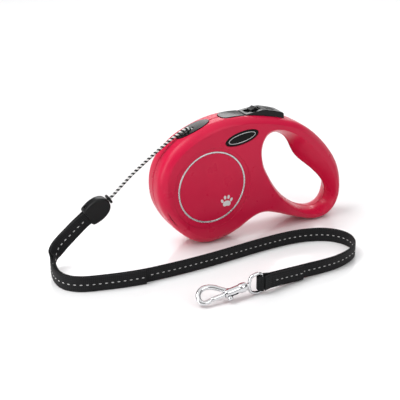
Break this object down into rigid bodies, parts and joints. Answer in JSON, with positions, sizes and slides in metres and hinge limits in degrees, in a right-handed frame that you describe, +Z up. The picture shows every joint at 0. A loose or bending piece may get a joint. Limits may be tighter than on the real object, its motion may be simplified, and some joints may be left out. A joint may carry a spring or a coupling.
{
  "type": "retractable leash",
  "caption": "Retractable cord leash: hand-held reel housing with loop grip and brake button, thin cord, webbing end strap and swivel bolt snap.",
  "frame": {"origin": "middle of the housing's length and thickness, on the surface it stands on", "axes": "+X along the housing from the cord outlet towards the grip, +Y through its thickness towards the rear shell, +Z up"},
  "size_m": [0.2482, 0.1168, 0.1003],
  "materials": {
    "front_shell": "satin, fine texture",
    "rear_shell": "satin, fine texture",
    "trim_ring": "silver foil inlay",
    "badge_front": "polished",
    "badge_rear": "polished",
    "cord_outlet": "semi-gloss",
    "button_pad": "semi-gloss",
    "brake_button": "semi-gloss",
    "brake_lever": "moulded",
    "lock_slider": "semi-gloss",
    "pivot_pin": "ground",
    "button_spring": "drawn wire",
    "reel": "moulded",
    "wound_cord": "braided cord",
    "spring_cover": "moulded",
    "axle": "ground",
    "spring_arbor": "ground",
    "mainspring": "tempered strip",
    "screw_neck": "plain",
    "screw_tail": "plain",
    "cord": "braided, black and white",
    "cord_knot": "braided cord",
    "connector_body": "satin",
    "connector_collar": "satin",
    "connector_pin": "ground",
    "strap": "woven webbing",
    "strap_fold_cord_end": "woven webbing",
    "strap_fold_snap_end": "woven webbing",
    "swivel_eye": "polished",
    "snap_body": "polished",
    "snap_bolt": "polished",
    "bolt_spring": "drawn wire"
  },
  "bodies": {
    "housing": {"front_shell": "front_shell", "rear_shell": "rear_shell", "trim_ring": "trim_ring", "badge_front": "badge_front", "badge_rear": "badge_rear", "cord_outlet": "cord_outlet", "button_pad": "button_pad", "pivot_pin": "pivot_pin", "button_spring": "button_spring", "axle": "axle", "spring_arbor": "spring_arbor", "mainspring": "mainspring", "screw_neck": "screw_neck", "screw_tail": "screw_tail", "cord": "cord", "cord_knot": "cord_knot", "connector_body": "connector_body", "connector_collar": "connector_collar", "connector_pin": "connector_pin", "strap": "strap", "strap_fold_cord_end": "strap_fold_cord_end", "strap_fold_snap_end": "strap_fold_snap_end", "swivel_eye": "swivel_eye"},
    "reel": {"reel": "reel", "wound_cord": "wound_cord", "spring_cover": "spring_cover"},
    "button": {"brake_button": "brake_button", "brake_lever": "brake_lever"},
    "lock": {"lock_slider": "lock_slider"},
    "snap": {"snap_body": "snap_body", "bolt_spring": "bolt_spring"},
    "bolt": {"snap_bolt": "snap_bolt"}
  },
  "joints": [
    {"name": "reel_spin", "type": "hinge", "parent": "housing", "child": "reel", "pos_m": [-0.0375, 0, 0.047], "axis": [0, 1, 0], "continuous": true},
    {"name": "brake_press", "type": "hinge", "parent": "housing", "child": "button", "pos_m": [-0.003, 0, 0.0915], "axis": [0, 1, 0], "range_deg": [0, 6], "deforming": ["button_spring"]},
    {"name": "lock_slide", "type": "slide", "parent": "button", "child": "lock", "axis": [-1, 0, 0], "range_m": [0, 0.0032]},
    {"name": "snap_swivel", "type": "hinge", "parent": "housing", "child": "snap", "pos_m": [-0.0548, -0.0979, 0.0085], "axis": [-0.989, 0, -0.1478], "continuous": true},
    {"name": "bolt_slide", "type": "slide", "parent": "snap", "child": "bolt", "axis": [0.989, 0, 0.1478], "range_m": [0, 0.0055], "deforming": ["bolt_spring"]}
  ]
}
